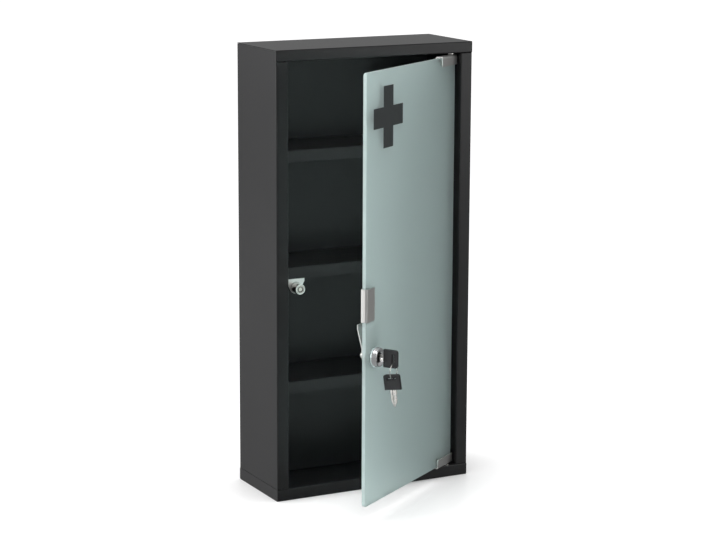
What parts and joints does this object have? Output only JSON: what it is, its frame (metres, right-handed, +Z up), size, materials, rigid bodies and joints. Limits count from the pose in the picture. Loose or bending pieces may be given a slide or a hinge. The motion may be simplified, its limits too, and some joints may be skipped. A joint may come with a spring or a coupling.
{
  "type": "lockable medicine cabinet",
  "caption": "Tall wall medicine cabinet of folded black steel with shelves and a frosted glass door on pivots, with a clip handle, magnetic catch, cam lock and keys.",
  "frame": {"origin": "middle of the underside of the housing", "axes": "+Z up, the front and the door face -Y, and +X points to the hinge side"},
  "size_m": [0.29, 0.2702, 0.6],
  "materials": {
    "black_powder_coat": "matt black powder coat with a fine texture",
    "nickel_plate": "bright nickel plate",
    "zinc_plate": "bright zinc plate",
    "sintered_magnet": "ground sintered magnet",
    "frosted_glass": "satin-etched toughened glass",
    "grey_print": "dark grey screen print",
    "satin_steel": "satin brushed steel",
    "clear_pad": "clear vinyl pad",
    "black_screw": "black oxide, on the grub screws and the lock plug",
    "foam_tape": "adhesive foam tape",
    "chrome_plate": "polished chrome plate",
    "black_rubber": "moulded rubber",
    "wafer_brass": "stamped brass",
    "key_nickel": "stamped nickel-plated brass",
    "key_plastic": "black moulded plastic"
  },
  "bodies": {
    "cabinet": {"top_cap": "black_powder_coat", "bottom_tray": "black_powder_coat", "left_side_panel": "black_powder_coat", "right_side_panel": "black_powder_coat", "back_panel": "black_powder_coat", "upper_shelf": "black_powder_coat", "middle_shelf": "black_powder_coat", "lower_shelf": "black_powder_coat", "upper_pivot_bush": "nickel_plate", "lower_pivot_bush": "nickel_plate", "catch_bracket": "zinc_plate", "catch_cup": "nickel_plate", "catch_magnet": "sintered_magnet", "catch_nut": "zinc_plate"},
    "door": {"glass_pane": "frosted_glass", "cross_print": "grey_print", "upper_hinge_clamp": "satin_steel", "lower_hinge_clamp": "satin_steel", "upper_hinge_pads": "clear_pad", "lower_hinge_pads": "clear_pad", "hinge_grub_screws": "black_screw", "upper_pivot_pin": "nickel_plate", "lower_pivot_pin": "nickel_plate", "handle_clip": "satin_steel", "handle_pads": "foam_tape", "lock_housing": "chrome_plate", "lock_gaskets": "black_rubber", "lock_nut": "nickel_plate"},
    "lock_core": {"lock_plug": "black_screw", "lock_wafers": "wafer_brass", "lock_cam": "zinc_plate", "cam_washer": "zinc_plate", "cam_screw": "zinc_plate"},
    "key_1": {"key_1_blade": "key_nickel", "key_1_head": "key_plastic"},
    "key_loop": {"key_ring": "nickel_plate"},
    "key_2": {"key_2_blade": "key_nickel", "key_2_head": "key_plastic"}
  },
  "joints": [
    {"name": "door_hinge", "type": "hinge", "parent": "cabinet", "child": "door", "pos_m": [0.1145, -0.0545, 0], "axis": [0, 0, 1], "range_deg": [-34, 86]},
    {"name": "lock_turn", "type": "hinge", "parent": "door", "child": "lock_core", "pos_m": [-0.06234, -0.1768, 0.215], "axis": [0.5592, -0.829, 0], "range_deg": [0, 90]},
    {"name": "key_slide", "type": "slide", "parent": "lock_core", "child": "key_1", "axis": [0.5592, -0.829, 0], "range_m": [0, 0.02]},
    {"name": "ring_turn", "type": "hinge", "parent": "key_1", "child": "key_loop", "pos_m": [-0.0468, -0.19985, 0.20588], "axis": [0.5592, -0.829, 0], "range_deg": [-90, 0]},
    {"name": "key_2_swing", "type": "hinge", "parent": "key_loop", "child": "key_2", "pos_m": [-0.0468, -0.19985, 0.18979], "axis": [0.829, 0.5592, 0], "range_deg": [-30, 30]}
  ],
  "couplings": [
    {"joint": "ring_turn", "follows": "lock_turn", "ratio": -1}
  ]
}
